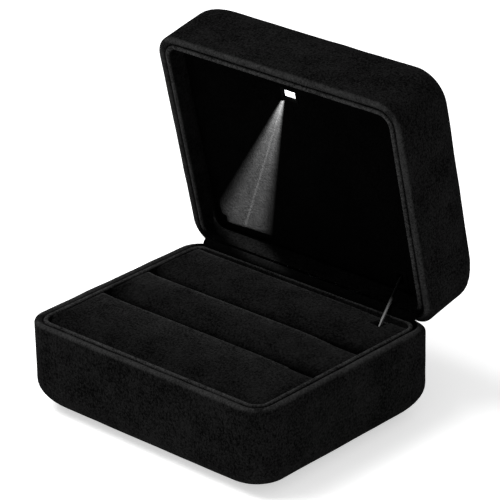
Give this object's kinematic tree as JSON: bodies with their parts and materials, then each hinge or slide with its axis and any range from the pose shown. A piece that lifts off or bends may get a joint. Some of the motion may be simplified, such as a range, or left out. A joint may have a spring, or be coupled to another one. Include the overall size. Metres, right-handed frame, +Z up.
{
  "type": "ring box",
  "caption": "Velvet-covered ring box with pillow corners, shown open: padded rolls with ring slots in the base, a lamp in the hinged lid that a thin rod switches.",
  "frame": {"origin": "centre of the base's underside", "axes": "+Z up, -Y towards the opening, +Y towards the hinge, +X to the right as seen from the front"},
  "size_m": [0.085, 0.0903, 0.0952],
  "materials": {
    "outer_velvet": "short black velvet pile",
    "lining_velvet": "black velvet over foam and card",
    "shell_plastic": "moulded, unpolished",
    "black_plastic": "fine texture",
    "card": "grey board",
    "steel": "bright drawn and stamped",
    "circuit_board": "solder mask",
    "lamp_lens": "clear",
    "lamp_chip": "lit LED",
    "red_wire": "insulation",
    "black_wire": "insulation"
  },
  "bodies": {
    "base": {"base_cover": "outer_velvet", "base_shell": "shell_plastic", "base_liner": "lining_velvet", "underside_plate": "outer_velvet", "insert_board": "card", "ring_pad_front": "lining_velvet", "ring_pad_middle": "lining_velvet", "ring_pad_rear": "lining_velvet", "hinge_leaf_base": "steel", "hinge_pin": "steel", "hinge_cover": "lining_velvet", "hinge_rivet_base_1": "steel", "hinge_rivet_base_2": "steel", "hinge_rivet_base_3": "steel", "rod_bracket": "steel", "bracket_rivet": "steel"},
    "lid": {"lid_cover": "outer_velvet", "lid_shell": "shell_plastic", "lid_liner": "lining_velvet", "lid_panel": "lining_velvet", "hinge_leaf_lid": "steel", "hinge_rivet_lid_1": "steel", "hinge_rivet_lid_2": "steel", "hinge_rivet_lid_3": "steel", "led_bezel": "black_plastic", "led_lens": "lamp_lens", "led_chip_left": "lamp_chip", "led_chip_right": "lamp_chip", "led_board": "circuit_board", "battery_holder": "black_plastic", "coin_cell": "steel", "battery_clip": "steel", "rod_guide": "black_plastic", "switch_body": "black_plastic", "wire_battery_to_lamp": "black_wire", "wire_battery_to_switch": "red_wire", "wire_switch_to_lamp": "red_wire"},
    "rod": {"switch_rod": "steel"},
    "plunger": {"switch_plunger": "black_plastic"}
  },
  "joints": [
    {"name": "lid_hinge", "type": "hinge", "parent": "base", "child": "lid", "pos_m": [0, 0.0323, 0.0262], "axis": [1, 0, 0], "range_deg": [0, 77.65]},
    {"name": "rod_turn", "type": "hinge", "parent": "base", "child": "rod", "pos_m": [0.0295, 0.0259, 0.0225], "axis": [1, 0, 0], "range_deg": [0, 38.9]},
    {"name": "plunger_slide", "type": "slide", "parent": "lid", "child": "plunger", "axis": [0, 0.9769, 0.2139], "range_m": [0, 0.0011]}
  ],
  "couplings": [
    {"joint": "rod_turn", "follows": "lid_hinge", "ratio": 0.5},
    {"joint": "plunger_slide", "follows": "lid_hinge", "m_per_rad": 0.00081}
  ]
}
